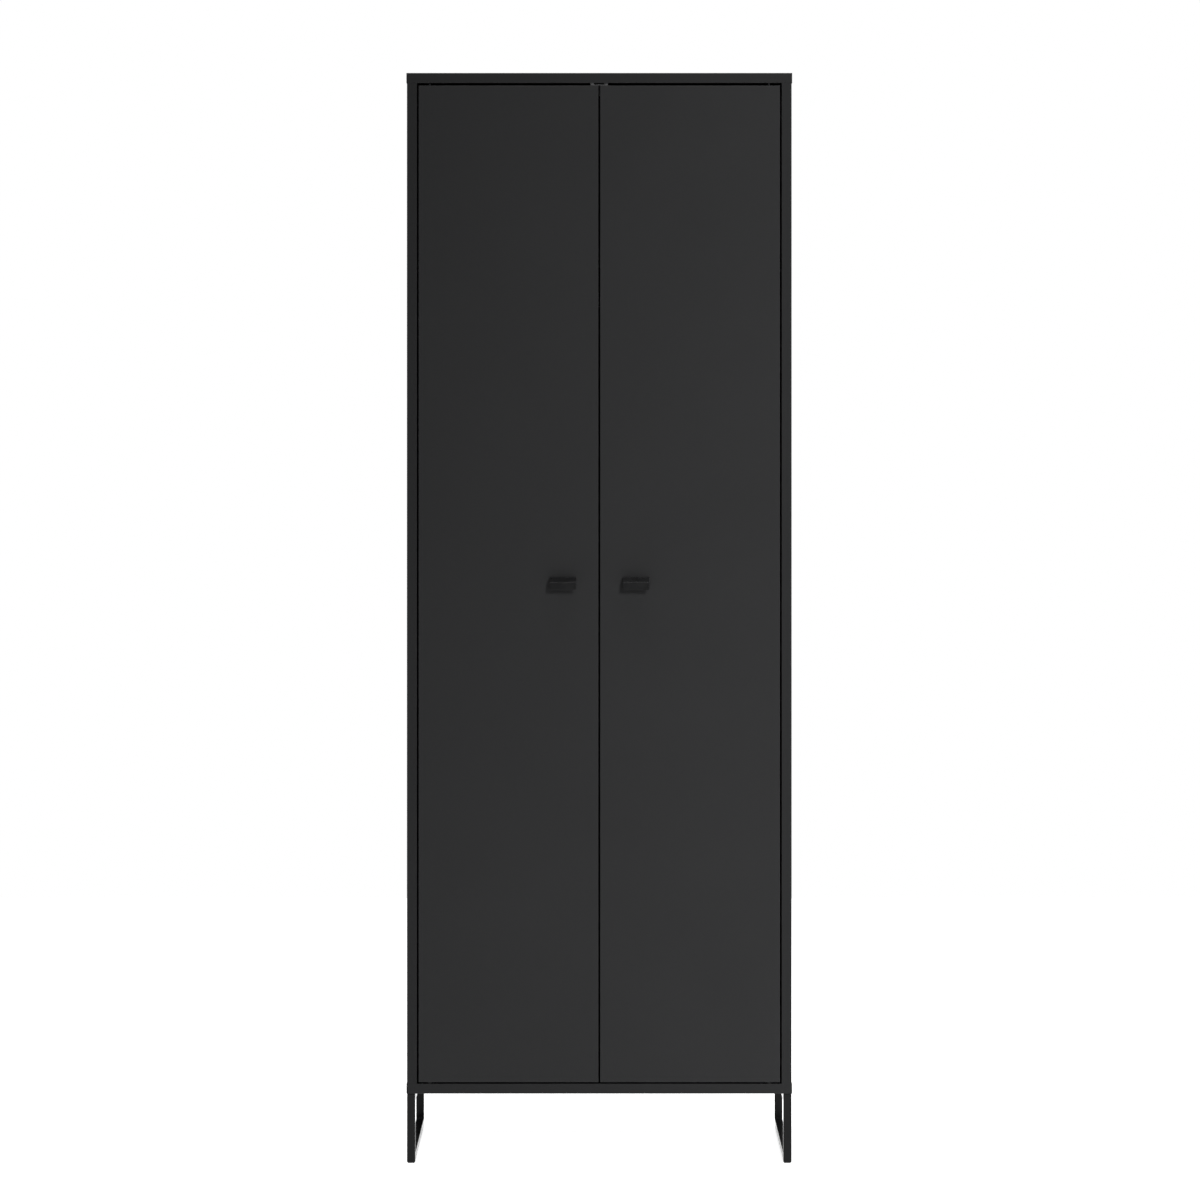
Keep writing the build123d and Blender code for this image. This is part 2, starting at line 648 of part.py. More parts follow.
def rail_socket():
    """A round flange on the left side panel with a collar that the rail sits in."""
    wall = -SIDE_INNER
    socket = rod(SOCKET_RADIUS, rail_point(wall), (1, 0, 0), SOCKET_BASE)
    socket += rod(SOCKET_COLLAR_RADIUS, rail_point(wall), (1, 0, 0), SOCKET_BASE + SOCKET_COLLAR_LENGTH)
    socket -= rod(
        RAIL_RADIUS + 2 * FIT_GAP, rail_point(wall + SOCKET_BASE), (1, 0, 0), SOCKET_COLLAR_LENGTH
    )
    return without(socket, socket_screws(FIT_GAP))


# Shelf -----------------------------------------------------------------------------------------------

SHELF_PIN_OFFSETS = (74.0, 454.0)
SHELF_PIN_RADIUS = 2.5
SHELF_PIN_DEPTH = 9.0
SHELF_PIN_REACH = 8.0
SHELF_END_GAP = 0.5
SHELF_PIN_CHAMFER = 0.4


def hat_shelf():
    """The shelf above the clothes rail."""
    half = SIDE_INNER - SHELF_END_GAP
    y_span = (FRONT + SHELF_SETBACK, FRONT + SHELF_SETBACK + SHELF_DEPTH)
    shelf = block((-half, half), y_span, (SHELF_TOP - SHELF_BOARD, SHELF_TOP))
    return soften_front(shelf)


def shelf_pin(offset, grow=0.0):
    """A pin in the left side panel that the shelf lies on."""
    z = SHELF_TOP - SHELF_BOARD - SHELF_PIN_RADIUS
    start = (-SIDE_INNER - SHELF_PIN_DEPTH - grow, FRONT + offset, z)
    pin = rod(SHELF_PIN_RADIUS + grow, start, (1, 0, 0), SHELF_PIN_DEPTH + SHELF_PIN_REACH + grow)
    if grow:
        return pin
    return chamfer(pin.edges().filter_by(GeomType.CIRCLE), SHELF_PIN_CHAMFER)


# Back panels -----------------------------------------------------------------------------------------

BACK_SPLIT = SHELF_TOP - SHELF_BOARD / 2
NAIL_COUNT = 11
NAIL_END = 50.0
NAIL_RADIUS = 0.8
NAIL_HEAD_RADIUS = 1.8
NAIL_HEAD_HEIGHT = 0.5
NAIL_LENGTH = 18.0


def back_panel(z_low, z_high):
    """One half of the thin back, nailed to the rear edges of the side panels."""
    return block((-SIDE_OUTER, SIDE_OUTER), (BACK_INNER, BACK_OUTER), (z_low, z_high))


def joint_strip():
    """The strip of H section that joins the two halves of the back."""
    half = SIDE_INNER - SHELF_END_GAP
    z_span = (BACK_SPLIT - STRIP_HEIGHT / 2, BACK_SPLIT + STRIP_HEIGHT / 2)
    strip = block((-half, half), (BACK_OUTER, REAR), z_span)
    strip += block((-half, half), (BACK_INNER - STRIP_THICKNESS, BACK_INNER), z_span)
    web_z = (BACK_SPLIT - STRIP_THICKNESS / 2, BACK_SPLIT + STRIP_THICKNESS / 2)
    return strip + block((-half, half), (BACK_INNER - STRIP_THICKNESS, REAR), web_z)


def back_nails(grow=0.0):
    """Nails through the back into the left side panel."""
    step = (TOP_UNDERSIDE - BASE_TOP - 2 * NAIL_END) / (NAIL_COUNT - 1)
    nails = []
    for index in range(NAIL_COUNT):
        z = BASE_TOP + NAIL_END + index * step
        nail = rod(NAIL_RADIUS + grow, (-SIDE_MIDDLE, BACK_OUTER, z), (0, -1, 0), NAIL_LENGTH + grow)
        if not grow:
            nail += rod(NAIL_HEAD_RADIUS, (-SIDE_MIDDLE, BACK_OUTER, z), (0, 1, 0), NAIL_HEAD_HEIGHT)
        nails.append(nail)
    return nails


# Panels ----------------------------------------------------------------------------------------------

PANEL_ROUND = 0.6


def soften_front(panel):
    """The panel with its front edges along X rounded a little."""
    return fillet(panel.edges().filter_by(Axis.X).group_by(Axis.Y)[0], PANEL_ROUND)


def side_panel():
    """The left side panel with the holes for its fittings."""
    panel = block((-SIDE_OUTER, -SIDE_INNER), (FRONT, BACK_INNER), (BASE_TOP, TOP_UNDERSIDE))
    panel = fillet(panel.edges().filter_by(Axis.Z).group_by(Axis.Y)[0], PANEL_ROUND)
    cuts = joint_pieces(cam_bolt_hole, CAM_OFFSETS) + joint_pieces(cam_hole, CAM_OFFSETS)
    cuts += joint_pieces(dowel, DOWEL_OFFSETS, grow=FIT_GAP)
    cuts += socket_screws(FIT_GAP) + back_nails(FIT_GAP)
    cuts += [shelf_pin(offset, FIT_GAP) for offset in SHELF_PIN_OFFSETS]
    return without(panel, cuts)


def horizontal_panel(z_low, z_high, left_cuts):
    """The top or bottom panel, full width and depth, with the same holes at both ends."""
    panel = block((-WIDTH / 2, WIDTH / 2), (FRONT, REAR), (z_low, z_high))
    panel = fillet(panel.edges().group_by(Axis.Y)[0], PANEL_ROUND)
    for cut in left_cuts:
        panel = without(panel, both_sides(cut))
    return panel


def end_joint_cuts(face, way):
    """The holes at one joint face for the cam bolts and the dowels."""
    cuts = [cam_bolt_hole(offset, face, way) for offset in CAM_OFFSETS]
    return cuts + [dowel(offset, face, way, grow=FIT_GAP) for offset in DOWEL_OFFSETS]


def top_panel():
    """The top panel with the holes for the joints, the top bushes, the catch and the brackets."""
    cuts = end_joint_cuts(TOP_UNDERSIDE, -1)
    cuts += [rod(BUSH_RADIUS + FIT_GAP, pivot_point(TOP_UNDERSIDE), (0, 0, 1), TOP_BUSH_LENGTH + FIT_GAP)]
    cuts += [catch_screw(FIT_GAP), bracket_screw(FIT_GAP)]
    return horizontal_panel(TOP_UNDERSIDE, HEIGHT, cuts)


def bottom_panel():
    """The bottom panel with the holes for the joints, the leg frames and the bottom pivots."""
    cuts = end_joint_cuts(BASE_TOP, 1)
    cuts += [frame_insert(offset, FIT_GAP) for offset in FRAME_SCREW_OFFSETS]
    cuts += [bottom_plate(FIT_GAP), bottom_pin(FIT_GAP)] + bottom_plate_screws(FIT_GAP)
    return horizontal_panel(LEG_HEIGHT, BASE_TOP, cuts)


def door():
    """The left door with the holes for its pivots, handle and strike plate."""
    leaf = block((-DOOR_OUTER, -DOOR_INNER), (FRONT, DOOR_BACK), (DOOR_BOTTOM, DOOR_TOP))
    leaf = fillet(leaf.edges().group_by(Axis.Y)[0], EDGE_ROUND)
    cuts = [
        rod(BUSH_RADIUS + FIT_GAP, pivot_point(DOOR_BOTTOM), (0, 0, 1), DOOR_BUSH_LENGTH + FIT_GAP),
        rod(BUSH_RADIUS + FIT_GAP, pivot_point(DOOR_TOP), (0, 0, -1), TOP_SLEEVE_LENGTH + FIT_GAP),
        strike_screw(FIT_GAP),
    ]
    return without(leaf, cuts + handle_screws(grow=FIT_GAP))


# Assembly --------------------------------------------------------------------------------------------


def mirrored(pieces):
    """Every left-hand piece and its right-hand twin."""
    return [solid for piece in pieces for solid in both_sides(piece)]


def right_hand(pieces):
    """The right-hand twins alone."""
    return [mirror(piece, about=Plane.YZ) for piece in pieces]


def carcass_nodes():
    """The boards and the fittings that never move."""
    back_lower = back_panel(BASE_TOP, BACK_SPLIT - STRIP_THICKNESS / 2)
    back_upper = back_panel(BACK_SPLIT + STRIP_THICKNESS / 2, TOP_UNDERSIDE)
    nail_holes = mirrored(back_nails(FIT_GAP))
    anchor_holes = both_sides(back_panel_anchor_hole())
    return {
        "top_panel": [top_panel()],
        "bottom_panel": [bottom_panel()],
        "left_side_panel": [side_panel()],
        "right_side_panel": right_hand([side_panel()]),
        "back_panel_lower": [without(back_lower, nail_holes)],
        "back_panel_upper": [without(back_upper, nail_holes + anchor_holes)],
        "back_panel_joint_strip": [joint_strip()],
        "back_panel_nails": mirrored(back_nails()),
        "hat_shelf": [hat_shelf()],
        "shelf_pins": mirrored([shelf_pin(offset) for offset in SHELF_PIN_OFFSETS]),
        "clothes_rail": [clothes_rail()],
        "left_rail_socket": [rail_socket()],
        "right_rail_socket": right_hand([rail_socket()]),
        "rail_socket_screws": mirrored(socket_screws()),
        "wooden_dowels": mirrored(joint_pieces(dowel, DOWEL_OFFSETS)),
        "cam_bolts": mirrored(joint_pieces(cam_bolt, CAM_OFFSETS)),
        "cam_locks": mirrored(joint_pieces(cam_lock, CAM_OFFSETS)),
        "catch_housing": [catch_housing()],
        "catch_magnets": both_sides(catch_magnet()),
        "catch_screws": both_sides(catch_screw()),
        "wall_brackets": both_sides(wall_bracket()),
        "wall_bracket_screws": both_sides(bracket_screw()),
    }


def stand_nodes():
    """The two sled frames with their fixings and floor pads."""
    return {
        "left_leg_frame": frame_members(),
        "right_leg_frame": right_hand(frame_members()),
        "leg_frame_screws": mirrored(frame_screws()),
        "leg_frame_inserts": mirrored([frame_insert(offset) for offset in FRAME_SCREW_OFFSETS]),
        "floor_pads": mirrored([floor_pad(offset) for offset in PAD_OFFSETS]),
    }


def pivot_nodes():
    """The fixed halves of the door pivots."""
    return {
        "bottom_pivot_plates": both_sides(bottom_plate()),
        "bottom_pivot_screws": mirrored(bottom_plate_screws()),
        "bottom_pivot_pins": both_sides(bottom_pin()),
        "bottom_pivot_washers": both_sides(bottom_washer()),
        "top_pivot_bushes": both_sides(top_bush()),
    }


def door_nodes():
    """Each door with what turns with it."""
    left = {
        "door": [door()],
        "handle": [handle()],
        "handle_screws": handle_screws(),
        "door_bottom_bush": [door_bush()],
        "door_top_pin": [top_pin()],
        "strike_plate": [strike_plate()],
        "strike_screw": [strike_screw()],
    }
    nodes = {"left_" + name: pieces for name, pieces in left.items()}
    nodes.update({"right_" + name: right_hand(pieces) for name, pieces in left.items()})
    return nodes


def main():
    """Write each node to its own file."""
    os.makedirs("parts", exist_ok=True)
    nodes = {**carcass_nodes(), **stand_nodes(), **pivot_nodes(), **door_nodes()}
    for name, pieces in nodes.items():
        solids = [solid for piece in pieces for solid in piece.solids()]
        shape = solids[0] if len(solids) == 1 else Compound(children=solids)
        export_step(shape, os.path.join("parts", name + ".step"))


main()
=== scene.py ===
"""Looks of a black two-door wardrobe on sled frames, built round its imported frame."""

import math

import bmesh
import bpy
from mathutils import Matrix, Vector


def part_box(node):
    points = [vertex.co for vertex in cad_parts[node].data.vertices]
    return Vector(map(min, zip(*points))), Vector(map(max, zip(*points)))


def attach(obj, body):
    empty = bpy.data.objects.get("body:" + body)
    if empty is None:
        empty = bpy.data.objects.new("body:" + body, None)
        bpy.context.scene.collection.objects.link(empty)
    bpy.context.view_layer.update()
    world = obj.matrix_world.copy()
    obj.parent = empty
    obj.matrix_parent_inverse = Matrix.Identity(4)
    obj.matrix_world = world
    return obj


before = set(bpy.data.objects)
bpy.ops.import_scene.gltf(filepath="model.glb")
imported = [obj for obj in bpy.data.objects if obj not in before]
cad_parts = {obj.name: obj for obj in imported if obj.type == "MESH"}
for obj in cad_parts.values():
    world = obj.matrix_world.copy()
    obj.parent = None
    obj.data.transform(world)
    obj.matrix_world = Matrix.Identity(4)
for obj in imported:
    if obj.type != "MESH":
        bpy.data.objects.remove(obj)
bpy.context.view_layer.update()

MM = 0.001


# Camera and stage ----------------------------------------------------------------------------------

SENSOR_MM = 36.0
CAMERA_DISTANCE = 9.604
CAMERA_HEIGHT = 1.361
LENS_MM = 158.8
# The lens shift, in sensor widths, sets the level view's horizon above the middle of the frame
LENS_SHIFT = (0.0006, -0.1558)
FAR_CLIP = 200.0

FLOOR_SIZE = 10.0
FLOOR_GLOW = 0.95

# The key is a tall gridded softbox, front right and above: it shades the door below and left of a handle
KEY_PLACE = (3.6, -10.5, 4.6)
KEY_TARGET = (1.0, 0.0, 0.95)
KEY_WIDTH = 2.2
KEY_LENGTH = 3.5
KEY_SPREAD = 18.0
KEY_POWER = 23.5
# The top light is a broad softbox over the wardrobe, facing straight down
TOP_PLACE = (0.0, 0.6, 5.0)
TOP_TARGET = (0.0, 0.6, 0.0)
TOP_WIDTH = 4.0
TOP_POWER = 310.0

WHITE = (1.0, 1.0, 1.0, 1.0)
SEEN_WHITE = 1.0
SURROUND_LIGHT = 0.09


def make_camera():
    """A long lens level with the doors' middle, looking straight along +Y at the front."""
    data = bpy.data.cameras.new("camera")
    data.lens = LENS_MM
    data.sensor_width = SENSOR_MM
    data.shift_x, data.shift_y = LENS_SHIFT
    data.clip_end = FAR_CLIP
    camera = bpy.data.objects.new("camera", data)
    bpy.context.scene.collection.objects.link(camera)
    door_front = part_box("left_door")[0][1]
    camera.location = (0.0, door_front - CAMERA_DISTANCE, CAMERA_HEIGHT)
    camera.rotation_euler = (math.radians(90.0), 0.0, 0.0)
    bpy.context.scene.camera = camera


def make_floor():
    """A plain white floor under the wardrobe; past its edges the world looks as white."""
    mesh = bpy.data.meshes.new("floor")
    shape = bmesh.new()
    bmesh.ops.create_grid(shape, x_segments=1, y_segments=1, size=FLOOR_SIZE / 2)
    shape.to_mesh(mesh)
    shape.free()
    floor = bpy.data.objects.new("floor", mesh)
    bpy.context.scene.collection.objects.link(floor)
    floor.data.materials.append(floor_material())


def softbox(name, place, target, width, length, power):
    """A rectangular area light at a place, aimed at a point."""
    data = bpy.data.lights.new(name, "AREA")
    data.shape = "RECTANGLE"
    data.size = width
    data.size_y = length
    data.energy = power
    light = bpy.data.objects.new(name, data)
    bpy.context.scene.collection.objects.link(light)
    light.location = place
    light.rotation_euler = (Vector(target) - Vector(place)).to_track_quat("-Z", "Y").to_euler()
    return light


def make_lights():
    """A gridded key from the front right, and a broad top light."""
    key = softbox("key", KEY_PLACE, KEY_TARGET, KEY_WIDTH, KEY_LENGTH, KEY_POWER)
    key.data.spread = math.radians(KEY_SPREAD)
    softbox("top", TOP_PLACE, TOP_TARGET, TOP_WIDTH, TOP_WIDTH, TOP_POWER)


def make_world():
    """White where the camera looks past the object, and dimmer where the world only lights it."""
    world = bpy.data.worlds.new("studio")
    bpy.context.scene.world = world
    world.use_nodes = True
    tree = world.node_tree
    tree.nodes.clear()
    path = tree.nodes.new("ShaderNodeLightPath")
    mix = tree.nodes.new("ShaderNodeMixShader")
    out = tree.nodes.new("ShaderNodeOutputWorld")
    tree.links.new(path.outputs["Is Camera Ray"], mix.inputs["Fac"])
    for slot, strength in ((1, SURROUND_LIGHT), (2, SEEN_WHITE)):
        background = tree.nodes.new("ShaderNodeBackground")
        background.inputs["Color"].default_value = WHITE
        background.inputs["Strength"].default_value = strength
        tree.links.new(background.outputs["Background"], mix.inputs[slot])
    tree.links.new(mix.outputs["Shader"], out.inputs["Surface"])


# Material building ---------------------------------------------------------------------------------

# Nearly all of a noise's values lie between these two
NOISE_LOW = 0.3
NOISE_HIGH = 0.7
# The largest part of a surface's direction is above the first on a flat face, and under the second in
# the middle of the rounded edge between two faces
FLAT_FACE = 0.995
ROUND_EDGE = 0.9


class Shader:
    """A material under construction: one Principled shader with whatever feeds it."""

    def __init__(self, name):
        self.material = bpy.data.materials.new(name)
        self.material.use_nodes = True
        self.tree = self.material.node_tree
        self.tree.nodes.clear()
        self.out = self.tree.nodes.new("ShaderNodeOutputMaterial")
        self.surface = self.tree.nodes.new("ShaderNodeBsdfPrincipled")
        self.link(self.surface.outputs["BSDF"], self.out.inputs["Surface"])
        self.coordinates = self.tree.nodes.new("ShaderNodeTexCoord")

    def link(self, source, target):
        self.tree.links.new(source, target)

    def set(self, **values):
        """Set the shader's own sockets, with underscores for spaces in their names."""
        for name, value in values.items():
            self.surface.inputs[name.replace("_", " ")].default_value = value

    def feed(self, socket, source):
        self.link(source, self.surface.inputs[socket])

    def stretched(self, scale):
        """Object coordinates stretched by a scale along each axis."""
        mapping = self.tree.nodes.new("ShaderNodeMapping")
        mapping.inputs["Scale"].default_value = scale
        self.link(self.coordinates.outputs["Object"], mapping.inputs["Vector"])
        return mapping.outputs["Vector"]

    def noise(self, scale, detail=2.0, roughness=0.5, vector=None):
        """Fractal noise in object coordinates, scale in cycles per metre."""
        node = self.tree.nodes.new("ShaderNodeTexNoise")
        node.inputs["Scale"].default_value = scale
        node.inputs["Detail"].default_value = detail
        node.inputs["Roughness"].default_value = roughness
        self.link(vector or self.coordinates.outputs["Object"], node.inputs["Vector"])
        return node.outputs["Fac"]

    def streaks(self, scale, detail, roughness=0.5):
        """Noise drawn out into streaks, with its own scale along each axis."""
        return self.noise(1.0, detail, roughness, self.stretched(scale))

    def cells(self, scale):
        """Distance to the nearest cell point, scale in cells per metre."""
        node = self.tree.nodes.new("ShaderNodeTexVoronoi")
        node.inputs["Scale"].default_value = scale
        self.link(self.coordinates.outputs["Object"], node.inputs["Vector"])
        return node.outputs["Distance"]

    def math(self, operation, first, second=None):
        """One step of arithmetic, on numbers or on other nodes' outputs."""
        node = self.tree.nodes.new("ShaderNodeMath")
        node.operation = operation
        for index, value in enumerate((first, second)):
            if value is None:
                continue
            if isinstance(value, (int, float)):
                node.inputs[index].default_value = value
            else:
                self.link(value, node.inputs[index])
        return node.outputs["Value"]

    def span(self, source, low=NOISE_LOW, high=NOISE_HIGH, to_low=0.0, to_high=1.0):
        """A value moved from one span to another, held at the ends."""
        node = self.tree.nodes.new("ShaderNodeMapRange")
        for name, value in (("From Min", low), ("From Max", high), ("To Min", to_low), ("To Max", to_high)):
            node.inputs[name].default_value = value
        self.link(source, node.inputs["Value"])
        return node.outputs["Result"]

    def around(self, source, middle, below, above):
        """Noise moved to a span that reaches below and above a middle value."""
        return self.span(source, to_low=middle - below, to_high=middle + above)

    def blend(self, factor, first, second):
        """A colour mix; each colour is a triple or another node's output."""
        node = self.tree.nodes.new("ShaderNodeMix")
        node.data_type = "RGBA"
        self.link(factor, node.inputs["Factor"])
        for name, value in (("A", first), ("B", second)):
            socket = next(s for s in node.inputs if s.name == name and s.type == "RGBA")
            if isinstance(value, tuple):
                socket.default_value = (*value, 1.0)
            else:
                self.link(value, socket)
        return next(s for s in node.outputs if s.type == "RGBA")

    def normal_axis(self, axis):
        """One part of the surface's direction, in the object's own frame."""
        node = self.tree.nodes.new("ShaderNodeSeparateXYZ")
        self.link(self.coordinates.outputs["Normal"], node.inputs["Vector"])
        return node.outputs[axis]

    def arris(self):
        """1 on the rounded edge between two flat faces, 0 on the faces."""
        parts = [self.math("ABSOLUTE", self.normal_axis(axis)) for axis in "XYZ"]
        largest = self.math("MAXIMUM", self.math("MAXIMUM", parts[0], parts[1]), parts[2])
        return self.span(largest, FLAT_FACE, ROUND_EDGE)

    def bump(self, height, strength, distance, after=None):
        """Relief from a height field; a second one can follow a first."""
        node = self.tree.nodes.new("ShaderNodeBump")
        node.inputs["Strength"].default_value = strength
        node.inputs["Distance"].default_value = distance
        self.link(height, node.inputs["Height"])
        if after is not None:
            self.link(after, node.inputs["Normal"])
        return node.outputs["Normal"]


# Materials -----------------------------------------------------------------------------------------

# Scales are in cycles per metre, tones are factors on a level, and relief is (strength, depth in metres)

COOL = (0.985, 0.995, 1.03)
NEUTRAL = (1.0, 1.0, 1.0)

FLOOR_LEVELS = (0.78, 0.8)
FLOOR_MOTTLE_SCALE = 0.8

BOARD_CLOUD_SCALE = 4.0
BOARD_FACE_TONES = (0.97, 1.03)
BOARD_BAND_TONES = (0.97, 1.04)
BOARD_FLECK_SCALE = 1400.0
BOARD_FLECK_TONE = 1.7
BOARD_FLECK_AMOUNT = 0.3
# Board arrises are painted lighter in patches: partly worn edges, partly a painted highlight
BOARD_WEAR_AND_HIGHLIGHT_SCALE = 22.0
BOARD_WEAR_AND_HIGHLIGHT_AMOUNT = (0.15, 0.8)
BOARD_WEAR_AND_HIGHLIGHT_TONE = 2.4
BOARD_EDGE_POLISH = 0.12
BOARD_SMEAR_SCALE = 7.0
BOARD_ROUGHNESS = (0.5, 0.57)
BOARD_PEBBLE_SCALE = 850.0
BOARD_PEBBLE_RELIEF = (0.14, 0.4 * MM)
BOARD_PORE_SCALE = 1300.0
BOARD_PORE_RELIEF = (0.05, 0.2 * MM)
# A face counts as facing front, or rear, when its direction's part along that way is above this
BOARD_FRONT_FACING = 0.7
HARDBOARD_REAR_FACING = 0.5

COAT_CLOUD_SCALE = 30.0
COAT_TONES = (0.92, 1.08)
COAT_SPECK_SCALE = 2200.0
COAT_SPECK_AMOUNT = 0.35
# Specks and coat corners share one light tone; on the corners it is partly worn-thin coat, partly a painted
# highlight
COAT_SPECK_AND_HIGHLIGHT_TONE = 3.0
COAT_WEAR_AND_HIGHLIGHT_SCALE = 45.0
COAT_CORNER_WEAR_AND_HIGHLIGHT = 0.5
COAT_CORNER_POLISH = 0.06
COAT_WAVE_SCALE = 60.0
COAT_PEEL_SCALE = 620.0
COAT_PEEL_RELIEF = (0.12, 0.5 * MM)

DRAWN_LINES = (60.0, 60.0, 900.0)
CAST_GRAIN = (240.0, 240.0, 240.0)
PASSIVATION_TINT = (0.9, 0.96, 1.04)
METAL_DARK_TONE = 0.8
METAL_DRIFT_SCALE = 120.0
METAL_DRIFT_AMOUNT = 0.6
METAL_BLOOM_SCALE = 260.0
METAL_BLOOM_DULLING = 0.14
METAL_RELIEF = (0.08, 0.2 * MM)

PLASTIC_GRAIN_SCALE = 1800.0
PLASTIC_FLOW_LINES = (90.0, 90.0, 30.0)
PLASTIC_LIGHT_TONE = 1.15
PLASTIC_RELIEF = (0.2, 0.2 * MM)

BEECH_GRAIN_LINES = (900.0, 900.0, 60.0)
BEECH_RAY_LINES = (1500.0, 1500.0, 300.0)
BEECH_PALE = (0.58, 0.4, 0.24)
BEECH_DARK = (0.42, 0.26, 0.14)
BEECH_RAY = (0.25, 0.14, 0.08)
BEECH_RELIEF = (0.3, 0.3 * MM)

HARDBOARD_FIBRE_LINES = (700.0, 700.0, 90.0)
HARDBOARD_PATCH_SCALE = 14.0
HARDBOARD_PATCH_AMOUNT = 0.5
HARDBOARD_FLECK_SCALE = 420.0
HARDBOARD_FLECK_AMOUNT = 0.4
HARDBOARD_RELIEF = (0.15, 0.3 * MM)
HARDBOARD_DARK = (0.05, 0.036, 0.027)
HARDBOARD_PALE = (0.1, 0.075, 0.056)
HARDBOARD_PATCH = (0.065, 0.046, 0.033)
HARDBOARD_FLECK = (0.16, 0.12, 0.085)
FOIL_LEVELS = (0.019, 0.022)

RUBBER_LEVELS = (0.012, 0.02)
RUBBER_GRAIN_SCALE = 900.0
RUBBER_RELIEF = (0.3, 0.3 * MM)


def grey(level, tint=NEUTRAL):
    """A near-neutral colour from one level and a slight tint."""
    return tuple(level * part for part in tint)


def tones(level, factors):
    """Two cool greys, each a factor times one level."""
    return tuple(grey(level * factor, COOL) for factor in factors)


def scaled(colour, factor):
    """A colour made darker or lighter, within white."""
    return tuple(min(1.0, part * factor) for part in colour)


def floor_material():
    """Matte white paint under a light table's even glow."""
    shader = Shader("floor_white")
    shader.set(Roughness=0.9, Specular_IOR_Level=0.0, Emission_Strength=FLOOR_GLOW, Emission_Color=WHITE)
    mottle = shader.span(shader.noise(FLOOR_MOTTLE_SCALE, detail=3.0))
    shader.feed("Base Color", shader.blend(mottle, grey(FLOOR_LEVELS[0]), grey(FLOOR_LEVELS[1])))
    return shader.material


def board_material(name, level, edge_level, gloss):
    """Melamine-faced board: pebbled matte faces, a smoother band on the front edge, and arrises made
    lighter in patches, partly as worn edges and partly as a painted highlight.
    """
    shader = Shader(name)
    shader.set(Specular_IOR_Level=gloss)
    forward = shader.math("MULTIPLY", shader.normal_axis("Y"), -1.0)
    front = shader.math("GREATER_THAN", forward, BOARD_FRONT_FACING)
    cloud = shader.span(shader.noise(BOARD_CLOUD_SCALE, detail=4.0))
    face = shader.blend(cloud, *tones(level, BOARD_FACE_TONES))
    band = shader.blend(cloud, *tones(edge_level, BOARD_BAND_TONES))
    colour = shader.blend(front, face, band)
    flecks = shader.noise(BOARD_FLECK_SCALE, roughness=0.6)
    fleck = shader.span(flecks, low=0.5, high=0.75, to_high=BOARD_FLECK_AMOUNT)
    colour = shader.blend(fleck, colour, grey(level * BOARD_FLECK_TONE, COOL))
    # Painted highlight and worn edges: every rounded edge is blended towards a lighter grey, more in
    # patches
    patches = shader.noise(BOARD_WEAR_AND_HIGHLIGHT_SCALE, detail=5.0, roughness=0.7)
    least_wear_and_highlight, most_wear_and_highlight = BOARD_WEAR_AND_HIGHLIGHT_AMOUNT
    wear_and_highlight = shader.span(patches, low=0.42, high=0.68, to_low=least_wear_and_highlight, to_high=most_wear_and_highlight)
    worn_and_highlit_edge = shader.math("MULTIPLY", shader.arris(), wear_and_highlight)
    shader.feed("Base Color", shader.blend(worn_and_highlit_edge, colour, grey(level * BOARD_WEAR_AND_HIGHLIGHT_TONE, COOL)))
    smoothest, roughest = BOARD_ROUGHNESS
    smears = shader.noise(BOARD_SMEAR_SCALE, detail=5.0, roughness=0.6)
    smeared = shader.span(smears, to_low=smoothest, to_high=roughest)
    polish = shader.math("MULTIPLY", worn_and_highlit_edge, BOARD_EDGE_POLISH)
    shader.feed("Roughness", shader.math("SUBTRACT", smeared, polish))
    pebble = shader.noise(BOARD_PEBBLE_SCALE, detail=3.0, roughness=0.6)
    pores = shader.span(shader.cells(BOARD_PORE_SCALE), low=0.0, high=0.5)
    relief = shader.bump(pebble, *BOARD_PEBBLE_RELIEF)
    shader.feed("Normal", shader.bump(pores, *BOARD_PORE_RELIEF, after=relief))
    return shader.material


def powder_coat(name, level, roughness, gloss=0.5):
    """Powder-coated steel: tight orange peel, a few specks, and corners made shinier and paler in patches,
    partly as worn-thin coat and partly as a painted highlight.
    """
    shader = Shader(name)
    shader.set(Specular_IOR_Level=gloss)
    speck_and_highlight_colour = grey(level * COAT_SPECK_AND_HIGHLIGHT_TONE, COOL)
    cloud = shader.span(shader.noise(COAT_CLOUD_SCALE, detail=3.0))
    colour = shader.blend(cloud, *tones(level, COAT_TONES))
    specks = shader.noise(COAT_SPECK_SCALE, detail=1.0)
    speck = shader.span(specks, low=0.72, high=0.8, to_high=COAT_SPECK_AMOUNT)
    colour = shader.blend(speck, colour, speck_and_highlight_colour)
    # Painted highlight and worn-thin coat: rounded edges are blended towards the light tone in patches
    patches = shader.noise(COAT_WEAR_AND_HIGHLIGHT_SCALE, detail=4.0, roughness=0.7)
    corner = shader.math("MULTIPLY", shader.arris(), shader.span(patches, low=0.4, high=0.7))
    corner_wear_and_highlight = shader.math("MULTIPLY", corner, COAT_CORNER_WEAR_AND_HIGHLIGHT)
    shader.feed("Base Color", shader.blend(corner_wear_and_highlight, colour, speck_and_highlight_colour))
    wave = shader.around(shader.noise(COAT_WAVE_SCALE, detail=4.0), roughness, below=0.04, above=0.05)
    polish = shader.math("MULTIPLY", corner, COAT_CORNER_POLISH)
    shader.feed("Roughness", shader.math("SUBTRACT", wave, polish))
    peel = shader.noise(COAT_PEEL_SCALE, roughness=0.4)
    shader.feed("Normal", shader.bump(peel, *COAT_PEEL_RELIEF))
    return shader.material


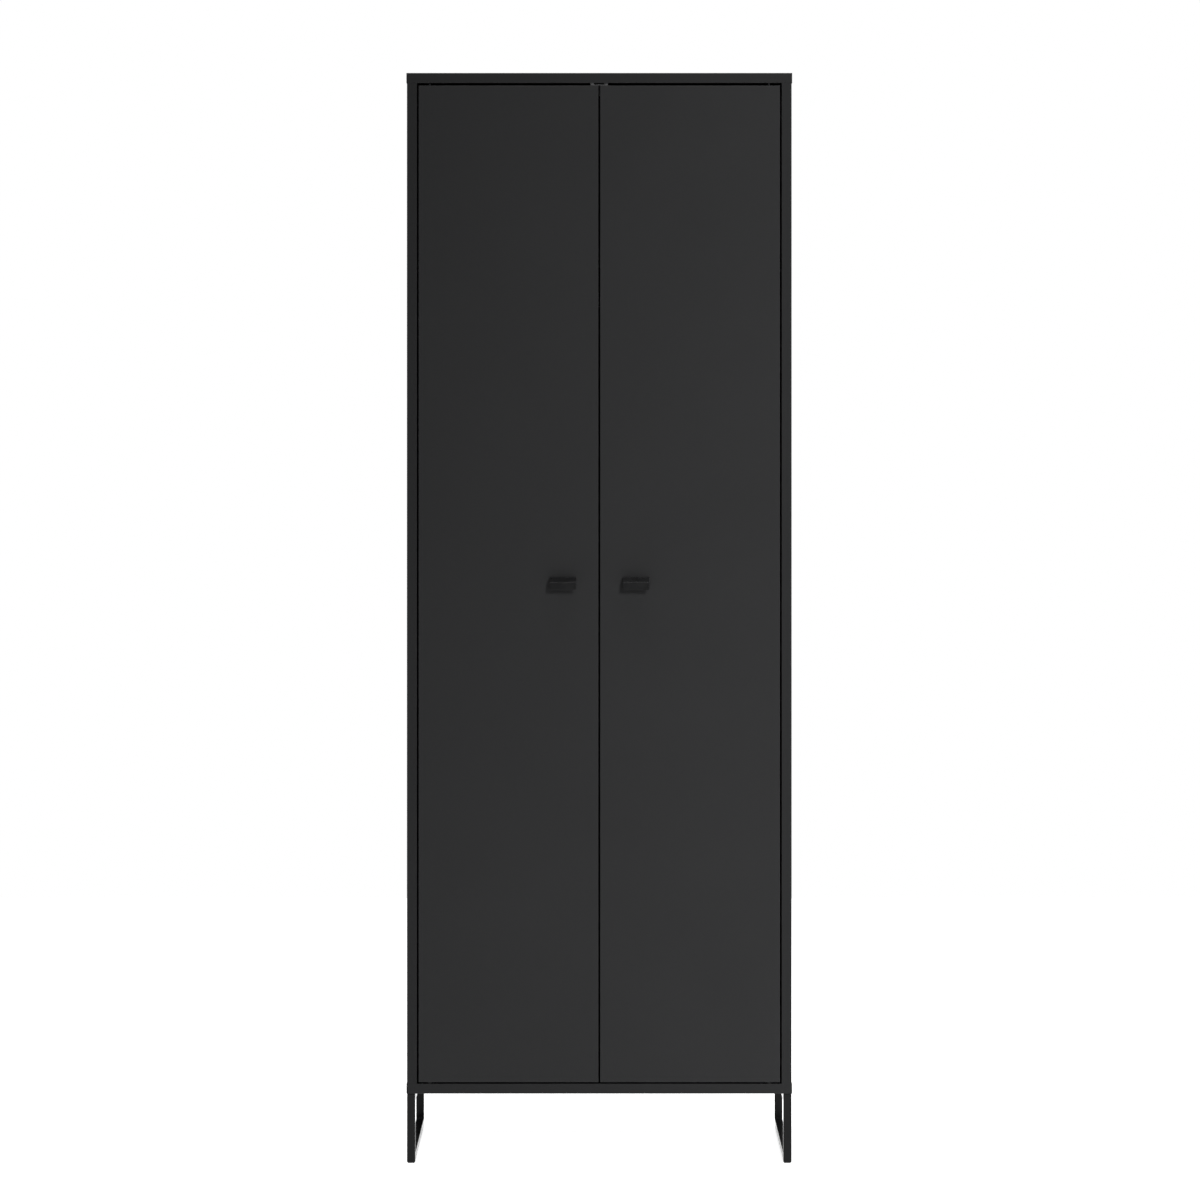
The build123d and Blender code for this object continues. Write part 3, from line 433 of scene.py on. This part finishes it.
def plated_metal(name, colour, roughness, grain=DRAWN_LINES):
    """Plated or bare metal: drawn lines, a drifting passivation tint and a duller bloom in patches."""
    shader = Shader(name)
    shader.set(Metallic=1.0)
    lines = shader.streaks(grain, detail=3.0, roughness=0.6)
    tinted = tuple(min(1.0, part * shift) for part, shift in zip(colour, PASSIVATION_TINT))
    streaked = shader.blend(shader.span(lines), scaled(colour, METAL_DARK_TONE), colour)
    patches = shader.noise(METAL_DRIFT_SCALE, detail=3.0, roughness=0.6)
    drift = shader.math("MULTIPLY", shader.span(patches, low=0.35, high=0.65), METAL_DRIFT_AMOUNT)
    shader.feed("Base Color", shader.blend(drift, streaked, tinted))
    blooms = shader.noise(METAL_BLOOM_SCALE, detail=4.0, roughness=0.7)
    bloom = shader.span(blooms, low=0.5, high=0.75, to_high=METAL_BLOOM_DULLING)
    drawn = shader.around(lines, roughness, below=0.06, above=0.08)
    shader.feed("Roughness", shader.math("ADD", drawn, bloom))
    shader.feed("Normal", shader.bump(lines, *METAL_RELIEF))
    return shader.material


def plain_plastic(name, colour, roughness, gloss=0.5):
    """Moulded plastic with a fine spark-eroded grain and slight flow marks."""
    shader = Shader(name)
    shader.set(Specular_IOR_Level=gloss)
    grain = shader.noise(PLASTIC_GRAIN_SCALE, roughness=0.6)
    flow = shader.span(shader.streaks(PLASTIC_FLOW_LINES, detail=3.0))
    shader.feed("Base Color", shader.blend(flow, colour, scaled(colour, PLASTIC_LIGHT_TONE)))
    shader.feed("Roughness", shader.around(grain, roughness, below=0.05, above=0.05))
    shader.feed("Normal", shader.bump(grain, *PLASTIC_RELIEF))
    return shader.material


def beech():
    """Turned beech dowel: straight grain with short dark rays."""
    shader = Shader("beech")
    shader.set(Roughness=0.6)
    grain = shader.streaks(BEECH_GRAIN_LINES, detail=4.0, roughness=0.6)
    rays = shader.streaks(BEECH_RAY_LINES, detail=2.0)
    colour = shader.blend(shader.span(grain, low=0.35), BEECH_PALE, BEECH_DARK)
    shader.feed("Base Color", shader.blend(shader.span(rays, low=0.62, high=0.72), colour, BEECH_RAY))
    shader.feed("Normal", shader.bump(grain, *BEECH_RELIEF))
    return shader.material


def hardboard():
    """Thin fibreboard: black foil towards the room, pressed brown fibres on the rear face."""
    shader = Shader("hardboard")
    rear = shader.math("GREATER_THAN", shader.normal_axis("Y"), HARDBOARD_REAR_FACING)
    fibres = shader.streaks(HARDBOARD_FIBRE_LINES, detail=5.0, roughness=0.7)
    patches = shader.span(shader.noise(HARDBOARD_PATCH_SCALE, detail=5.0, roughness=0.65))
    patchy = shader.math("MULTIPLY", patches, HARDBOARD_PATCH_AMOUNT)
    near_point = shader.cells(HARDBOARD_FLECK_SCALE)
    flecks = shader.span(near_point, low=0.0, high=0.35, to_low=HARDBOARD_FLECK_AMOUNT, to_high=0.0)
    raw = shader.blend(shader.span(fibres), HARDBOARD_DARK, HARDBOARD_PALE)
    raw = shader.blend(patchy, raw, HARDBOARD_PATCH)
    raw = shader.blend(flecks, raw, HARDBOARD_FLECK)
    foil = shader.blend(patches, *(grey(level, COOL) for level in FOIL_LEVELS))
    shader.feed("Base Color", shader.blend(rear, foil, raw))
    shader.feed("Roughness", shader.span(fibres, to_low=0.6, to_high=0.75))
    shader.feed("Normal", shader.bump(fibres, *HARDBOARD_RELIEF))
    return shader.material


def rubber():
    """Dense black rubber."""
    shader = Shader("pad_rubber")
    shader.set(Roughness=0.85)
    grain = shader.noise(RUBBER_GRAIN_SCALE, detail=3.0, roughness=0.6)
    shader.feed("Base Color", shader.blend(shader.span(grain), *(grey(level) for level in RUBBER_LEVELS)))
    shader.feed("Normal", shader.bump(grain, *RUBBER_RELIEF))
    return shader.material


# Weld beads ----------------------------------------------------------------------------------------

# A fillet of weld fills each inner corner of the sled frames, in overlapping ripples
TUBE = 15.0 * MM
BEAD_LEG = 2.9 * MM
BEAD_TIP = 0.05 * MM
BEAD_TAPER = 0.25
BEAD_SETBACK = 1.0 * MM
RIPPLES = 7
RIPPLE_HEIGHT = 0.5 * MM
RINGS = 57
ARC_POINTS = 9
# The bead's face is pulled in towards the corner by this part of its leg, halfway between the legs
FACE_HOLLOW = 0.36


def bead_leg(travel):
    """Leg length of the bead at a place along it, from 0 to 1: rippled, and tapered at both ends."""
    ripple = abs(math.sin(math.pi * RIPPLES * travel))
    closing = max(math.sin(math.pi * travel), 0.0) ** BEAD_TAPER
    return (BEAD_LEG + RIPPLE_HEIGHT * ripple) * closing + BEAD_TIP


def bead_section(leg):
    """The bead's section as (across, up) from the corner: the corner itself, then the hollow face."""
    points = [(0.0, 0.0)]
    for step in range(ARC_POINTS):
        turn = math.pi / 2 * step / (ARC_POINTS - 1)
        reach = leg * (1.0 - FACE_HOLLOW * math.sin(2 * turn))
        points.append((reach * math.cos(turn), reach * math.sin(turn)))
    return points


def weld_bead(name, corner, x_span, toward_y, toward_z, material):
    """A closed bead along x in the corner at (y, z), with its legs along the two directions given."""
    shape = bmesh.new()
    rings = []
    for index in range(RINGS):
        travel = index / (RINGS - 1)
        x = x_span[0] + (x_span[1] - x_span[0]) * travel
        places = [(x, corner[0] + toward_y * across, corner[1] + toward_z * up)
                  for across, up in bead_section(bead_leg(travel))]
        rings.append([shape.verts.new(place) for place in places])
    for before, after in zip(rings, rings[1:]):
        for here in range(len(before)):
            there = (here + 1) % len(before)
            shape.faces.new((before[here], before[there], after[there], after[here]))
    shape.faces.new(rings[0][::-1])
    shape.faces.new(rings[-1])
    bmesh.ops.recalc_face_normals(shape, faces=shape.faces)
    for face in shape.faces:
        face.smooth = True
    mesh = bpy.data.meshes.new(name)
    shape.to_mesh(mesh)
    shape.free()
    bead = bpy.data.objects.new(name, mesh)
    bpy.context.scene.collection.objects.link(bead)
    bead.data.materials.append(material)
    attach(bead, "carcass")


def make_weld_beads(material):
    """Four beads in each sled frame, where the legs meet the runner and the upper rail."""
    for side in ("left", "right"):
        low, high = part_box(side + "_leg_frame")
        x_span = (low[0] + BEAD_SETBACK, high[0] - BEAD_SETBACK)
        corners = {
            "front_lower": (low[1] + TUBE, low[2] + TUBE, 1, 1),
            "front_upper": (low[1] + TUBE, high[2] - TUBE, 1, -1),
            "rear_lower": (high[1] - TUBE, low[2] + TUBE, -1, 1),
            "rear_upper": (high[1] - TUBE, high[2] - TUBE, -1, -1),
        }
        for place, (y, z, toward_y, toward_z) in corners.items():
            weld_bead(side + "_weld_" + place, (y, z), x_span, toward_y, toward_z, material)


# CAD nodes -----------------------------------------------------------------------------------------

ZINC = (0.62, 0.64, 0.66)
CAST_ZINC = (0.5, 0.51, 0.53)
STRIKE_STEEL = (0.56, 0.57, 0.58)
BLACK_OXIDE = (0.025, 0.025, 0.026)
NICKEL = (0.3, 0.3, 0.31)
BLACK_PLASTIC = (0.015, 0.015, 0.016)
BLACK_ACETAL = (0.005, 0.005, 0.0052)
BLACK_NYLON = (0.006, 0.006, 0.006)
GREY_PLASTIC = (0.06, 0.06, 0.062)
DULL_GLOSS = 0.12


def dress(material, *nodes):
    """Give each CAD node one material in all its slots."""
    for name in nodes:
        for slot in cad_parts[name].material_slots:
            slot.material = material


def both(name):
    """The left and the right node of a pair."""
    return "left_" + name, "right_" + name


def dress_boards():
    """Panels, doors and the thin back."""
    dress(board_material("door_board", level=0.016, edge_level=0.016, gloss=0.12), *both("door"))
    carcass = board_material("carcass_board", level=0.0145, edge_level=0.0135, gloss=0.1)
    dress(carcass, "top_panel", "bottom_panel", *both("side_panel"), "hat_shelf")
    dress(hardboard(), "back_panel_lower", "back_panel_upper")
    dress(plain_plastic("black_plastic", BLACK_PLASTIC, roughness=0.5), "back_panel_joint_strip")
    dress(beech(), "wooden_dowels")


def dress_coated_steel(frame_coat):
    """Sled frames with their pads, handles, rail and its sockets."""
    dress(frame_coat, *both("leg_frame"))
    dress(powder_coat("handle_coat", level=0.0085, roughness=0.3, gloss=0.12), *both("handle"))
    dress(powder_coat("rail_coat", level=0.016, roughness=0.3), "clothes_rail", *both("rail_socket"))
    dress(powder_coat("screw_coat", level=0.022, roughness=0.35), "rail_socket_screws")
    dress(rubber(), "floor_pads")


def dress_fittings():
    """Screws, locks, brackets, the catch and the door pivots."""
    zinc = plated_metal("zinc", ZINC, roughness=0.32)
    dress(zinc, "shelf_pins", "cam_bolts", "back_panel_nails", "catch_screws", "wall_bracket_screws")
    dress(zinc, "wall_brackets", "leg_frame_screws", "leg_frame_inserts", "bottom_pivot_screws")
    dress(zinc, *both("handle_screws"), *both("strike_screw"))
    dress(plated_metal("cast_zinc", CAST_ZINC, roughness=0.42, grain=CAST_GRAIN), "cam_locks")
    dress(plated_metal("strike_steel", STRIKE_STEEL, roughness=0.26), *both("strike_plate"))
    oxide = plated_metal("black_oxide_steel", BLACK_OXIDE, roughness=0.45)
    dress(oxide, "bottom_pivot_plates", "bottom_pivot_pins", *both("door_top_pin"))
    dress(plated_metal("nickel_magnet", NICKEL, roughness=0.3), "catch_magnets")
    acetal = plain_plastic("black_acetal", BLACK_ACETAL, roughness=0.45, gloss=DULL_GLOSS)
    dress(acetal, *both("door_bottom_bush"))
    nylon = plain_plastic("black_nylon", BLACK_NYLON, roughness=0.5, gloss=DULL_GLOSS)
    dress(nylon, "bottom_pivot_washers", "top_pivot_bushes")
    dress(plain_plastic("grey_plastic", GREY_PLASTIC, roughness=0.5), "catch_housing")


make_camera()
make_world()
make_floor()
make_lights()
frame_coat = powder_coat("frame_coat", level=0.006, roughness=0.16, gloss=0.1)
dress_boards()
dress_coated_steel(frame_coat)
dress_fittings()
make_weld_beads(frame_coat)
bpy.context.scene.view_settings.view_transform = "Standard"
